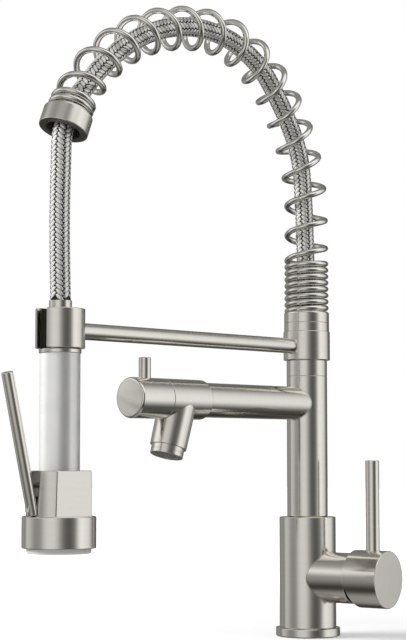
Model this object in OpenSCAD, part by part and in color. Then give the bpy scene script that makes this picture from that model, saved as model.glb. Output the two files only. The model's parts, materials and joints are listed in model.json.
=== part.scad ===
/* [Deck base] */
// Diameter of the round flange that stands on the deck
flange_d = 51; // [50:0.5:56]
// Height of the flange's top face above the deck
flange_h = 7; // [6:0.5:9]
// Diameter of the valve barrel
barrel_d = 45; // [44:0.5:48]
// Height of the barrel's top edge above the deck
barrel_h = 94.3; // [92:0.1:110]
// Diameter of the threaded socket that takes the shank from below the deck
shank_d = 30; // [28:0.5:32]
// Depth of the shank socket
shank_depth = 12; // [10:0.5:13]
// Diameter of the cold and the hot inlet in the socket's floor
inlet_d = 9; // [8:0.5:10]
// Distance between the axes of the two inlets
inlet_gap = 14.4; // [13.6:0.2:16]
// Depth of each inlet's threaded hole
inlet_depth = 10; // [8:0.5:12]

/* [Handle] */
// Height of the handle's axis above the deck
handle_z = 46.8; // [45:0.1:52]
// Angle by which the handle points behind the square direction
handle_turn = 9.6; // [0:0.1:20]
// Diameter of the side housing that holds the cartridge
housing_d = 39.6; // [38.5:0.1:42]
// Distance from the column's axis to the side housing's end face
housing_end = 43.8; // [43:0.1:50]
// Outer diameter of the handle's cap
cap_d = 44.7; // [43:0.1:48]
// Length of the handle's cap along its axis
cap_len = 29.4; // [27:0.1:34]
// Gap between the side housing's end face and the cap's rim
cap_gap = 0.6; // [0.5:0.1:1.2]
// Slope of the cap's lower rim, which clears the housing when the lever tilts
cap_bevel = 16; // [15.5:0.5:20]
// Diameter of the handle's lever
lever_d = 10.8; // [8:0.1:12]
// Length of the lever from the handle's axis to its tip
lever_len = 92.2; // [70:0.1:110]

/* [Column] */
// Diameter of the column
column_d = 32.5; // [31.5:0.1:35]
// Length of the column's lower tube
column_len = 111.8; // [105:0.1:140]
// Length of the plain head that closes the column
head_len = 12.6; // [10:0.1:16]
// Diameter of the bearing spigot that turns in the barrel
spigot_d = 27; // [26:0.1:28]

/* [Pot spout] */
// Drop of the pot spout's axis below the seam of the column
spout_drop = 21.9; // [20:0.1:26]
// Diameter of the pot spout's tube
spout_d = 26.3; // [25:0.1:28]
// Distance from the column's axis to the end of the spout tube
spout_len = 121.5; // [100:0.5:126]
// Diameter of the pot valve and its knob
valve_d = 30; // [29:0.1:32]
// Length of the pot valve's body
valve_len = 40; // [39:0.5:44]
// Length of the knob
knob_len = 31.9; // [28:0.1:36]
// Angle by which the nozzle leans towards the front
nozzle_lean = 16.4; // [5:0.1:20]
// Length of the nozzle from the valve's axis to its lower end
nozzle_len = 37.1; // [34:0.1:42]
// Outer diameter of the nozzle's lower end
nozzle_d = 27.4; // [26:0.1:28.5]
// Outer diameter of the aerator's ring
aerator_d = 24.6; // [23.6:0.1:25.6]
// Height of the aerator's ring
aerator_h = 7; // [6:0.1:8]
// Diameter of the knob's small lever
knob_lever_d = 9; // [7:0.1:10]
// Length of the small lever from the spout's axis to its tip
knob_lever_len = 29.9; // [24:0.1:31]

/* [Arm and dock] */
// Distance from the column's axis to the spray head's axis
reach = 260; // [255:1:275]
// Diameter of the arm's turning collar
collar_d = 37.4; // [36:0.1:40]
// Height of the arm's turning collar
collar_h = 22.9; // [20:0.1:26]
// Diameter of the arm's rod
arm_d = 12; // [10:0.1:13]
// Outer diameter of the dock's ring
dock_d = 35; // [34:0.1:38]
// Height of the dock's ring
dock_h = 28; // [24:0.5:32]
// Width of the slot in the front of the dock
dock_slot = 10.2; // [8:0.2:13]

/* [Spring arch] */
// Height of the ring below the spring's seat
ring_h = 7.2; // [6.8:0.1:10]
// Height of the spring's seat
seat_h = 9.2; // [7:0.1:12]
// Outer diameter of the ring and the spring's seat
seat_d = 36.2; // [35.8:0.1:38]
// Diameter of the spring's wire
wire_d = 4.7; // [4:0.1:4.7]
// Mean radius of the spring's turns at the seat
coil_r = 15.6; // [15:0.1:15.7]
// Mean radius of the spring's turns at its free end
coil_end_r = 14.3; // [13.8:0.1:15]
// Number of close turns on the seat
seat_turns = 8; // [6:1:10]
// Number of wide turns along the arch
open_turns = 15; // [12:1:16]
// Number of close turns at the free end
end_turns = 2; // [2:1:4]
// Rise of one close turn
close_pitch = 5.12; // [5.12:0.01:5.2]
// Advance of one close turn at the bent free end
end_pitch = 6; // [6:0.05:6.3]
// Advance of one wide turn along the arch
open_pitch = 24.55; // [23:0.05:25]
// Height of the arch's straight leg above the spring's seat
leg_len = 79.4; // [70:0.1:85]
// Rise of the arch from the straight leg to its highest point
arch_rise = 132.3; // [120:0.1:140]

/* [Hose] */
// Outer diameter of the braided hose
hose_d = 14.8; // [12:0.1:15]
// Outer diameter of the ferrule that goes through the dock
ferrule_d = 16.2; // [15:0.1:17]
// Outer diameter of the cap on the spring's free end
end_cap_d = 36; // [34:0.1:38]
// Length of the cap on the spring's free end
end_cap_len = 16; // [14:0.1:20]

/* [Spray head] */
// Outer diameter of the white grip tube
grip_d = 28.6; // [27.6:0.1:30]
// Length of the white grip tube
grip_len = 81.8; // [70:0.1:90]
// Outer diameter of the metal collar on the grip
head_collar_d = 30; // [28.6:0.1:32]
// Visible height of the metal collar on the grip
head_collar_h = 3.1; // [2.5:0.1:5]
// Diameter of the head body at its top
body_top_d = 45; // [44:0.1:47]
// Diameter of the head body at its foot
body_foot_d = 46.4; // [45:0.1:48]
// Height of the head body
body_h = 31.5; // [29:0.1:34]
// Width of the head body across its two flats
body_flat_w = 30; // [28:0.1:34]
// Outer diameter of the bell ring
bell_d = 52.1; // [50:0.1:55]
// Height of the bell ring
bell_h = 22.2; // [20:0.1:26]
// Width of the lip by which the bell ring stands out past the white spray face
bell_lip = 3.4; // [3:0.1:5]
// Distance that the spray face stands out of the bell ring
face_drop = 3.7; // [2:0.1:5]
// Diameter of the spray lever's rod
spray_lever_d = 8.4; // [7:0.1:9]
// Angle by which the spray lever leans away from the grip
spray_lever_lean = 13.6; // [12.5:0.1:16]
// Length of the spray lever's rod
spray_lever_len = 100.4; // [80:0.1:104]

/* [Hidden] */
$fn = 64;

nickel = "#c3beb5";
brass = "#b5923f";
ceramic = "#e9e6df";
pearl = "#eeeeec";
black = "#1c1c1c";
grey = "#6e6f70";
steel = "#a9abad";

// Clearances and the overrun of every cut
cut = 1;
turn_gap = 0.3;
run_fit = 0.05;
press_fit = 0.02;
loose_fit = 0.3;
edge = 0.6;
corner_steps = 4;

// Deck base
foot_gap = 0.4;
gasket_h = 2;
gasket_inset = 2;
foot_share = 38 / 51;
foot_d = foot_share * flange_d;
gasket_gap = 1;
gasket_d = flange_d - 2 * gasket_inset;
gasket_bore = foot_d + 2 * gasket_gap;
bush_wall = 1.95;
bush_len = 16.3;
bush_d = spigot_d + 2 * (run_fit + bush_wall);
socket_room = 6;
column_socket_z = barrel_h - bush_len - socket_room;

// Cartridge, measured outwards along the handle's axis
bore_back = 8;
bore_d = 31;
nut_seat = 34;
nut_len = 7.9;
nut_d = 33;
nut_hex_d = 26;
nut_hex_len = 4;
nut_bore = 19;
shell_gap = 0.1;
shell_d = bore_d - 2 * shell_gap;
shell_wall = 3.15;
cavity_d = shell_d - 2 * shell_wall;
back_wall = 4;
disc_h = 4;
disc_gap = 0.35;
disc_d = cavity_d - 2 * disc_gap;
inlet_port_d = 5.6;
inlet_port_rise = 5;
outlet_port_d = 5.6;
outlet_port_drop = 6;
inlet_duct_d = 7;
outlet_duct_d = 8;
outlet_duct_x = -8;
port_y = inlet_gap / 2 * cos(handle_turn);
seal_r = 0.78;
seal_groove = 1.6;
seal_ring_r = inlet_port_d / 2 + seal_r + disc_gap;
slider_d = 17;
slider_shift = 1.8;
slider_pocket_d = 11;
slider_pocket_h = 1.2;
ball_d = 6;
ball_pocket_h = 2;
ball_arm = 14.5;
pivot_depth = 2;
pivot_u = nut_seat + pivot_depth;
stem_w = 6;
stem_len = 24;
stem_end = pivot_u + stem_len;
slot_gap = 0.4;
slot_up = 8;
slot_down = 4;
neck_slot = 5;
neck_gap = 0.5;
rotor_neck_d = nut_bore - 2 * neck_gap;
pin_d = 3;
pin_len = rotor_neck_d - 2 * neck_gap;

// Handle
cap_rim = housing_end + cap_gap;
cap_end = cap_rim + cap_len;
cap_wall = 2.5;
cap_front = 2.8;
hub_d = 16;
hub_offset = 14;
hub_start = pivot_u + hub_offset;
lever_share = 0.524;
lever_u = cap_rim + cap_len * lever_share;
stub_d = 6;
stub_gap = 0.1;
screw_d = 4;
screw_len = 6;
screw_inset = 3;
screw_u = stem_end - screw_inset;

// Column
column_z = barrel_h + turn_gap;
seam_z = column_z + column_len;
column_top = seam_z + head_len;
column_bore = spigot_d + 2 * press_fit;
spigot_wall = 3.5;
spigot_gap = 2;
spigot_z = column_socket_z + spigot_gap;
spigot_up = 12;
clip_h = 1.5;
clip_wall = 2.5;
clip_opening = 8;
column_clip_z = barrel_h - bush_len - turn_gap - clip_h;
seal_step = 5;
column_seal_z = [column_z - 2 * seal_step, column_z - seal_step];
head_plug = 10.4;
neck_d = 26;
tail_d = 11.9;
tail_bore = 8;

// Arm and dock
collar_z = column_top + turn_gap;
collar_top = collar_z + collar_h;
ring_top = collar_top + ring_h;
seat_top = ring_top + seat_h;
collar_bush_d = 30;
ring_roof = 2.4;
ring_wall = 2.5;
neck_room = 1;
neck_top = ring_top - ring_roof - neck_room;
clip_gap = 0.7;
neck_clip_z = collar_top + clip_gap;
arm_share = 0.476;
arm_z = collar_z + collar_h * arm_share;
dock_share = 0.471;
dock_z = arm_z - dock_h * dock_share;
dock_top = dock_z + dock_h;
dock_wall = 3.5;
liner_bore = 19;
tail_flange_d = 17.4;
tail_out = 4.4;
tail_top = seat_top + tail_out;

// Pot spout, measured forwards along the spout's axis
spout_z = seam_z - spout_drop;
spout_bore = 21;
spout_port_d = 20;
valve_plug = 9.5;
valve_duct_d = 14;
valve_end = spout_len + valve_len;
nozzle_share = 0.57;
nozzle_v = spout_len + valve_len * nozzle_share;
nozzle_taper = 1.3;
nozzle_root_d = nozzle_d + nozzle_taper;
nozzle_bore = 22;
headwork_d = 22;
headwork_len = 22.5;
headwork_v = valve_end - headwork_len;
headwork_front = 5;
headwork_bore = 17;
spindle_d = 9;
valve_disc_h = 3;
valve_disc_d = headwork_bore - loose_fit;
valve_disc_web = 0.5;
spindle_head_h = 4.6;
spindle_len = 20.5;
knob_v = valve_end + turn_gap;
knob_lever_share = 0.53;
knob_lever_v = knob_v + knob_len * knob_lever_share;
knob_stub_d = 5;
aerator_neck = 6;
aerator_wall = 1.6;
aerator_groove = 0.5;
aerator_rim = 2.4;
screen_d = aerator_d - 2 * aerator_rim;
screen_hole_d = 2.6;
screen_step = 3.7;
washer_h = 1.5;

// Spray head, from the dock downwards
head_top = dock_z - turn_gap;
grip_top = head_top - head_collar_h;
body_top = grip_top - grip_len;
body_foot = body_top - body_h;
bell_foot = body_foot - bell_h;
face_foot = bell_foot - face_drop;
grip_wall = 2;
grip_bore = grip_d - 2 * grip_wall;
plug_h = 8.6;
plug_shoulder = 6.7;
ferrule_out = 5.7;
ferrule_top = dock_top + ferrule_out;
ferrule_in = 10.7;
ferrule_foot = head_top - ferrule_in;
swivel_d = 20;
swivel_h = 3.7;
water_d = 12;
water_wall = 1.5;
water_flange_h = 3;
water_flange_drop = 17;
water_flange_z = grip_top - water_flange_drop;
water_sink = 5.8;
body_spigot_d = 30;
body_spigot_h = 4.3;
bell_wall = 3;
bell_roof = 4.3;
face_h = 16;
nozzle_row_shares = [[8, 0.22], [12, 0.32], [16, 0.42]];
nub_d = 2;
nub_gap = 0.2;
nub_out = 0.8;
mat_h = 1.4;
face_d = bell_d - 2 * bell_lip;
mat_inset = 1.65;
mat_d = face_d - 2 * mat_inset;
seal_share = 0.736;
groove_d = 12;
groove_lean = 11;
pivot_rise = 5.7;
pivot_z = body_foot + pivot_rise;
pivot_inset = 2.7;
pivot_y = -reach - body_foot_d / 2 + pivot_inset;
spray_press = 12;
pivot_pin_d = 2.5;
pivot_pin_len = 13;
tongue_w = 4.6;
slot_depth = 6.2;
slot_h = 14;
lever_room = 0.4;
lever_foot_out = 0.34;
lever_foot_y = -reach - body_foot_d / 2 - lever_foot_out;
lever_foot_rise = 1.1;
lever_foot_z = body_foot + lever_foot_rise;
plunger_rise = 16;
plunger_z = pivot_z + plunger_rise;
plunger_d = 4;
plunger_reach = 0.6;
plunger_out = body_foot_d / 2 + plunger_reach;
plunger_len = 15.9;
plunger_in = plunger_out - plunger_len;
plunger_flange_d = 7;
plunger_flange_h = 1.5;
plunger_room_d = 8;
plunger_wall = 7.2;
plunger_room_out = body_foot_d / 2 - plunger_wall;
plunger_flange_out = plunger_room_out - plunger_flange_h / 3;

// Arch: a straight leg and two curves in the plane of the arm, as points [y, z]
apex_share = 0.43;
rise_share = 0.52;
fall_share = 0.555;
foot_lean = 4;
foot_drop = 1.5;
curve_steps = 32;
leg_top = seat_top + leg_len;
arch_top = leg_top + arch_rise;
apex_y = -apex_share * reach;
foot_y = -reach - foot_lean;
foot_z = leg_top - foot_drop;
rise_curve = [
    [0, leg_top], [0, leg_top + rise_share * arch_rise],
    [apex_y * (1 - rise_share), arch_top], [apex_y, arch_top]
];
fall_curve = [
    [apex_y, arch_top], [apex_y + fall_share * (foot_y - apex_y), arch_top],
    [foot_y, foot_z + fall_share * (arch_top - foot_z)], [foot_y, foot_z]
];
arch_path = concat(
    [[0, seat_top]],
    [for (i = [0 : curve_steps]) bezier(rise_curve, i / curve_steps)],
    [for (i = [1 : curve_steps]) bezier(fall_curve, i / curve_steps)]
);
arch_run = [for (i = [0 : len(arch_path) - 1]) path_run(arch_path, i)];
path_ys = [for (i = [0 : len(arch_path) - 1]) [arch_run[i], arch_path[i][0]]];
path_zs = [for (i = [0 : len(arch_path) - 1]) [arch_run[i], arch_path[i][1]]];
tangent_step = wire_d / 8;

// Spring: how far each whole number of turns has come along the arch
curl_rings = 8;
wire_sides = 6;
coil_phase = 225;
first_pitch_share = 0.704;
first_pitch = close_pitch + first_pitch_share * (open_pitch - close_pitch);
all_turns = seat_turns + 1 + open_turns + end_turns;
turn_runs = [
    [0, 0],
    [seat_turns, seat_turns * close_pitch],
    [seat_turns + 1, seat_turns * close_pitch + first_pitch],
    [seat_turns + 1 + open_turns, seat_turns * close_pitch + first_pitch + open_turns * open_pitch],
    [all_turns, seat_turns * close_pitch + first_pitch + open_turns * open_pitch + end_turns * end_pitch]
];
coil_run = lookup(all_turns, turn_runs) + wire_d;
end_turn_share = wire_d / close_pitch;
bend_share = wire_d / (2 * PI * coil_r);
ring_count = round((all_turns - 2 * end_turn_share) * curl_rings);
ring_turns = [
    for (i = [0 : ring_count])
        end_turn_share + i * (all_turns - 2 * end_turn_share) / ring_count
];
first_turn = ring_turns[0] - bend_share;
last_turn = ring_turns[ring_count] + bend_share;

// Spring's free end, where its cap sits, as [y, z]: the wire runs straight into the cap's face
cap_top = path_at(coil_run);
cap_tilt = 21;
cap_dir = [0, -sin(cap_tilt), -cos(cap_tilt)];
end_share = 1.35;
end_start = coil_point(last_turn, coil_run - end_share * wire_d);
end_point = end_start + cap_dir * (([0, cap_top[0], cap_top[1]] - end_start) * cap_dir);
wire_points = concat(
    [coil_point(first_turn, 0), coil_point(first_turn, wire_d)],
    [for (t = ring_turns) coil_point(t, turn_run(t))],
    [end_start, end_point]
);
wire_turns = concat([first_turn, first_turn], ring_turns, [last_turn, last_turn]);
wire_last = len(wire_points) - 1;
wire_rings = [for (i = [0 : wire_last]) wire_ring(i)];
wire_gaps = [
    for (i = [0 : wire_last])
        for (j = [i + curl_rings - 3 : 1 : min(wire_last, i + curl_rings + 3)])
            norm(wire_points[i] - wire_points[j]) - wire_d
];
echo(str("Least gap of the spring to itself: ", min(wire_gaps)));

// Cap on the spring's free end
end_cap_wall = 5.5;
end_cap_roof = 3;
hose_room = 1;

// Route of the hose through the arch and down to the ferrule, as points [y, z]
hose_sides = 12;
hose_route = [
    [0, 263], [-1, 300], [-3, 345], [-7, 380], [-17, 404], [-35, 430], [-55, 451], [-83, 465],
    [-112, 470], [-140, 468], [-168, 460], [-195, 446], [-219, 427], [-239, 406], [-253.5, 386],
    [-259.5, 368], [-260, 345], [-260, 315], [-260, 285], [-260, 250.7]
];
hose_split = 14;
hose_last = len(hose_route) - 1;
hose_rings = [for (i = [0 : hose_last]) hose_ring(i)];

function unit(v) = v / norm(v);
function bezier(p, t) =
    pow(1 - t, 3) * p[0] + 3 * pow(1 - t, 2) * t * p[1] + 3 * (1 - t) * t * t * p[2] + t * t * t * p[3];
function path_run(p, i) = i == 0 ? 0 : path_run(p, i - 1) + norm(p[i] - p[i - 1]);
function path_at(s) = [lookup(s, path_ys), lookup(s, path_zs)];
function path_dir(s) = unit(path_at(s + tangent_step) - path_at(max(0, s - tangent_step)));
function turn_run(t) = wire_d / 2 + lookup(t, turn_runs);

// Direction from the arch's centre line to the wire, at a turn and a distance along the arch
function coil_out(t, s) =
    let (d = path_dir(s), a = coil_phase + 360 * t)
    [cos(a), d[1] * sin(a), -d[0] * sin(a)];
function coil_point(t, s) =
    let (c = path_at(s), r = coil_r + (coil_end_r - coil_r) * s / coil_run)
    [0, c[0], c[1]] + r * coil_out(t, s);
function wire_ring(i) =
    let (
        before = i <= 1 ? i : i - 1,
        after = i >= wire_last - 1 ? i : i + 1,
        along = i <= 1 ? wire_points[1] - wire_points[0]
            : i >= wire_last - 1 ? wire_points[wire_last] - wire_points[wire_last - 1]
            : wire_points[after] - wire_points[before],
        s = i <= 1 ? 0 : i >= wire_last - 1 ? coil_run : turn_run(wire_turns[i]),
        out = coil_out(wire_turns[i], s),
        side = unit(cross(unit(along), out)),
        up = cross(side, unit(along))
    )
    [for (k = [0 : wire_sides - 1])
        let (a = 360 * k / wire_sides)
        wire_points[i] + wire_d / 2 * (cos(a) * up + sin(a) * side)];
function hose_ring(i) =
    let (
        d = unit(hose_route[min(i + 1, hose_last)] - hose_route[max(i - 1, 0)]),
        c = hose_route[i]
    )
    [for (k = [0 : hose_sides - 1])
        let (a = 360 * k / hose_sides)
        [hose_d / 2 * cos(a), c[0] + hose_d / 2 * sin(a) * d[1], c[1] - hose_d / 2 * sin(a) * d[0]]];
function corner(x, z, r, from) =
    [for (i = [0 : corner_steps])
        [x + r * cos(from + 90 * i / corner_steps), z + r * sin(from + 90 * i / corner_steps)]];

// Solid through a list of rings, each with the same number of points
module swept(rings) {
    sides = len(rings[0]);
    last = len(rings) - 1;
    polyhedron(
        points = [for (r = rings) each r],
        faces = concat(
            [for (i = [0 : last - 1], k = [0 : sides - 1])
                [i * sides + k, i * sides + (k + 1) % sides, (i + 1) * sides + (k + 1) % sides]],
            [for (i = [0 : last - 1], k = [0 : sides - 1])
                [i * sides + k, (i + 1) * sides + (k + 1) % sides, (i + 1) * sides + k]],
            [for (k = [1 : sides - 2]) [0, k + 1, k]],
            [for (k = [1 : sides - 2]) [last * sides, last * sides + k, last * sides + k + 1]]
        )
    );
}

// Turned disc with a rounded top edge and a rounded foot edge
module turned(d, h, top_r = edge, foot_r = edge) {
    rotate_extrude()
        polygon(concat(
            [[0, 0]],
            corner(d / 2 - foot_r, foot_r, foot_r, -90),
            corner(d / 2 - top_r, h - top_r, top_r, 0),
            [[0, h]]
        ));
}

module pipe(d, bore, h) {
    difference() {
        cylinder(d = d, h = h);
        translate([0, 0, -cut]) cylinder(d = bore, h = h + 2 * cut);
    }
}

// Plain hole from a height upwards, open at both cut ends
module hole(d, z, h) {
    translate([0, 0, z]) cylinder(d = d, h = h);
}

module o_ring(r, section_r) {
    rotate_extrude() translate([r, 0]) circle(r = section_r);
}

// Spring clip with an opening towards the back
module clip(bore, d) {
    difference() {
        pipe(d, bore, clip_h);
        translate([-clip_opening / 2, 0, -cut]) cube([clip_opening, d, clip_h + 2 * cut]);
    }
}

// Frame of the handle: X is up, Z runs outwards along the handle's axis
module along_handle() {
    rotate([0, 0, handle_turn])
        translate([0, 0, handle_z]) rotate([0, 90, 0]) rotate([0, 0, 180]) children();
}

// Frame of the pot spout: Y is up, Z runs forwards along the spout's axis
module along_spout() {
    translate([0, 0, spout_z]) rotate([90, 0, 0]) children();
}

// Frame of the nozzle: Z runs down the nozzle from the spout's axis
module along_nozzle() {
    translate([0, -nozzle_v, spout_z]) rotate([180 - nozzle_lean, 0, 0]) children();
}

module at_head() {
    translate([0, -reach, 0]) children();
}

// Water ports of the cartridge: two inlets above the axis and one outlet below
module ports(from, h) {
    for (side = [-1, 1])
        translate([inlet_port_rise, side * port_y, from]) cylinder(d = inlet_port_d, h = h);
    translate([-outlet_port_drop, 0, from]) cylinder(d = outlet_port_d, h = h);
}

module port_rings() {
    for (side = [-1, 1])
        translate([inlet_port_rise, side * port_y, 0]) children();
    translate([-outlet_port_drop, 0, 0]) children();
}

module deck_gasket() {
    color(black) pipe(gasket_d, gasket_bore, gasket_h);
}

module base_flange() {
    color(nickel) difference() {
        translate([0, 0, foot_gap]) turned(flange_d, flange_h - foot_gap, edge, edge);
        hole(foot_d + 2 * stub_gap, -cut, flange_h + 2 * cut);
        difference() {
            hole(gasket_d + stub_gap, -cut, gasket_h + cut);
            hole(gasket_bore - stub_gap, -2 * cut, gasket_h + 3 * cut);
        }
    }
}

module water_ways() {
    for (side = [-1, 1])
        translate([0, side * inlet_gap / 2, 0]) {
            hole(inlet_d, shank_depth - cut, inlet_depth + cut);
            hole(inlet_duct_d, shank_depth + inlet_depth - cut,
                handle_z + inlet_port_rise + inlet_port_d / 2 - shank_depth - inlet_depth + cut);
        }
    along_handle() {
        for (side = [-1, 1])
            translate([inlet_port_rise, side * port_y, 0]) cylinder(d = inlet_port_d, h = bore_back + cut);
        translate([-outlet_port_drop, 0, outlet_duct_x])
            cylinder(d = outlet_port_d, h = bore_back - outlet_duct_x + cut);
    }
    rotate([0, 0, handle_turn])
        translate([outlet_duct_x, 0, 0])
            hole(outlet_duct_d, handle_z - outlet_port_drop - outlet_port_d / 2,
                column_socket_z - handle_z + outlet_port_drop + outlet_port_d / 2 + cut);
}

module valve_barrel() {
    color(nickel) difference() {
        union() {
            cylinder(d = foot_d, h = flange_h + cut);
            translate([0, 0, flange_h]) turned(barrel_d, barrel_h - flange_h, edge, edge);
            along_handle() turned(housing_d, housing_end, edge, edge);
        }
        hole(shank_d, -cut, shank_depth + cut);
        hole(bush_d, column_socket_z, barrel_h);
        along_handle() {
            hole(bore_d, bore_back, housing_end);
            hole(nut_d, nut_seat, housing_end);
        }
        water_ways();
    }
}

module cartridge_body() {
    color(grey) along_handle() difference() {
        translate([0, 0, bore_back]) cylinder(d = shell_d, h = nut_seat - bore_back);
        hole(cavity_d, bore_back + back_wall, nut_seat);
        ports(bore_back - cut, back_wall + 2 * cut);
        port_rings() difference() {
            hole(2 * (seal_ring_r + seal_r) + stub_gap, bore_back - cut, seal_groove + cut);
            hole(2 * (seal_ring_r - seal_r) - stub_gap, bore_back - 2 * cut, seal_groove + 3 * cut);
        }
    }
}

module cartridge_seals() {
    color(black) along_handle() port_rings()
        translate([0, 0, bore_back + seal_r]) o_ring(seal_ring_r, seal_r);
}

module fixed_disc() {
    color(ceramic) along_handle() difference() {
        translate([0, 0, bore_back + back_wall]) cylinder(d = disc_d, h = disc_h);
        ports(bore_back + back_wall - cut, disc_h + 2 * cut);
    }
}

module cartridge_nut() {
    color(brass) along_handle() translate([0, 0, nut_seat]) difference() {
        union() {
            cylinder(d = nut_d - 2 * run_fit, h = nut_len);
            translate([0, 0, nut_len]) cylinder(d = nut_hex_d, h = nut_hex_len, $fn = 6);
        }
        hole(nut_bore, -cut, nut_len + nut_hex_len + 2 * cut);
    }
}

module column_bush() {
    color(ceramic) translate([0, 0, barrel_h - bush_len]) pipe(bush_d, spigot_d + 2 * run_fit, bush_len);
}

module cartridge_rotor() {
    slider_top = bore_back + back_wall + 2 * disc_h;
    color(grey) along_handle() difference() {
        union() {
            translate([0, 0, slider_top + run_fit])
                cylinder(d = disc_d, h = nut_seat - slider_top - 2 * run_fit);
            translate([0, 0, nut_seat - cut]) cylinder(d = rotor_neck_d, h = nut_len + cut);
        }
        translate([-slot_down, -stem_w / 2 - slot_gap, slider_top - cut])
            cube([slot_down + slot_up, stem_w + 2 * slot_gap, nut_seat - slider_top]);
        translate([-neck_slot, -stem_w / 2 - slot_gap, slider_top])
            cube([2 * neck_slot, stem_w + 2 * slot_gap, nut_seat]);
        translate([0, -rotor_neck_d, pivot_u]) rotate([-90, 0, 0]) cylinder(d = pin_d, h = 2 * rotor_neck_d);
    }
}

module stem_pin() {
    color(steel) along_handle()
        translate([0, -pin_len / 2, pivot_u]) rotate([-90, 0, 0]) cylinder(d = pin_d, h = pin_len);
}

module moving_disc() {
    color(ceramic) along_handle() translate([0, 0, bore_back + back_wall + disc_h]) difference() {
        translate([-slider_shift, 0, 0]) cylinder(d = slider_d, h = disc_h);
        translate([-slider_shift, 0, -cut]) cylinder(d = slider_pocket_d, h = slider_pocket_h + cut);
        hole(ball_d + slot_gap, disc_h - ball_pocket_h, ball_pocket_h + cut);
    }
}

module cartridge_stem() {
    color(brass) along_handle() difference() {
        union() {
            translate([-stem_w / 2, -stem_w / 2, pivot_u - ball_arm + ball_d / 4])
                cube([stem_w, stem_w, stem_end - pivot_u + ball_arm - ball_d / 4]);
            translate([0, 0, pivot_u - ball_arm]) sphere(d = ball_d);
        }
        translate([0, -stem_w, pivot_u]) rotate([-90, 0, 0])
            cylinder(d = pin_d + 2 * run_fit, h = 2 * stem_w);
    }
}

module handle_cap() {
    color(nickel) along_handle() difference() {
        union() {
            difference() {
                translate([0, 0, cap_rim]) turned(cap_d, cap_len, edge, edge);
                hole(cap_d - 2 * cap_wall, cap_rim - cut, cap_len - cap_front + cut);
            }
            translate([0, 0, hub_start]) cylinder(d = hub_d, h = cap_end - cap_front - hub_start + cut);
        }
        translate([0, 0, cap_rim]) rotate([0, cap_bevel, 0])
            translate([-2 * cap_d, -cap_d, -cap_d]) cube([2 * cap_d, 2 * cap_d, cap_d]);
        translate([-stem_w / 2 - run_fit, -stem_w / 2 - run_fit, hub_start - cut])
            cube([stem_w + 2 * run_fit, stem_w + 2 * run_fit, stem_end - hub_start + loose_fit + cut]);
        translate([0, 0, lever_u]) rotate([0, 90, 0])
            translate([0, 0, hub_d / 2]) cylinder(d = stub_d + 2 * stub_gap, h = cap_d);
        translate([0, 0, screw_u]) rotate([0, -90, 0]) cylinder(d = screw_d + 2 * stub_gap, h = cap_d);
    }
}

module handle_lever() {
    color(nickel) along_handle() translate([0, 0, lever_u]) rotate([0, 90, 0]) {
        difference() {
            translate([0, 0, cap_d / 2 - lever_d / 2]) turned(lever_d, lever_len - cap_d / 2 + lever_d / 2);
            rotate([90, 0, 0]) rotate([0, 90, 0]) cylinder(d = cap_d, h = 2 * lever_d, center = true);
        }
        translate([0, 0, hub_d / 2 + loose_fit]) cylinder(d = stub_d, h = cap_d / 2 - hub_d / 2);
    }
}

module handle_screw() {
    color(steel) along_handle() translate([0, 0, screw_u]) rotate([0, -90, 0])
        translate([0, 0, stem_w / 2]) cylinder(d = screw_d, h = screw_len);
}

module column_tube() {
    color(nickel) difference() {
        translate([0, 0, column_z]) turned(column_d, column_len, edge / 2, edge);
        hole(column_bore, column_z - cut, column_len + 2 * cut);
        along_spout() cylinder(d = spout_port_d, h = column_d);
    }
}

module column_spigot() {
    color(brass) difference() {
        hole(spigot_d, spigot_z, column_z + spigot_up - spigot_z);
        hole(spigot_d - 2 * spigot_wall, spigot_z - cut, column_z + spigot_up - spigot_z + 2 * cut);
        translate([0, 0, column_clip_z - stub_gap]) difference() {
            cylinder(d = spigot_d + cut, h = clip_h + 2 * stub_gap);
            translate([0, 0, -cut]) cylinder(d = spigot_d - clip_wall, h = clip_h + 2 * cut + 2 * stub_gap);
        }
        for (z = column_seal_z)
            translate([0, 0, z - seal_r - stub_gap]) difference() {
                cylinder(d = spigot_d + cut, h = 2 * (seal_r + stub_gap));
                translate([0, 0, -cut])
                    cylinder(d = spigot_d - 4 * seal_r, h = 2 * (seal_r + stub_gap) + 2 * cut);
            }
    }
}

module column_circlip() {
    color(steel) translate([0, 0, column_clip_z])
        clip(spigot_d - clip_wall + 2 * press_fit, spigot_d + clip_wall);
}

module column_seals() {
    color(black)
        for (z = column_seal_z)
            translate([0, 0, z]) o_ring(spigot_d / 2 - seal_r, seal_r);
}

module column_head() {
    color(nickel) difference() {
        union() {
            translate([0, 0, seam_z]) turned(column_d, head_len, edge / 2, edge / 2);
            hole(column_bore - 2 * press_fit, seam_z - head_plug, head_plug + cut);
            hole(neck_d, column_top - cut, neck_top - column_top + cut);
        }
        hole(tail_d + 2 * run_fit, seam_z - head_plug - cut, neck_top - seam_z + head_plug + 2 * cut);
        translate([0, 0, neck_clip_z - stub_gap]) difference() {
            cylinder(d = neck_d + cut, h = clip_h + 2 * stub_gap);
            translate([0, 0, -cut]) cylinder(d = neck_d - clip_wall, h = clip_h + 2 * cut + 2 * stub_gap);
        }
    }
}

module neck_clip() {
    color(steel) translate([0, 0, neck_clip_z]) clip(neck_d - clip_wall + 2 * press_fit, neck_d + clip_wall);
}

module spout_tube() {
    color(nickel) difference() {
        along_spout() cylinder(d = spout_d, h = spout_len);
        along_spout() hole(spout_bore, -cut, spout_len + 2 * cut);
        hole(column_d, seam_z - 2 * column_d, 2 * column_d);
    }
}

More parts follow.
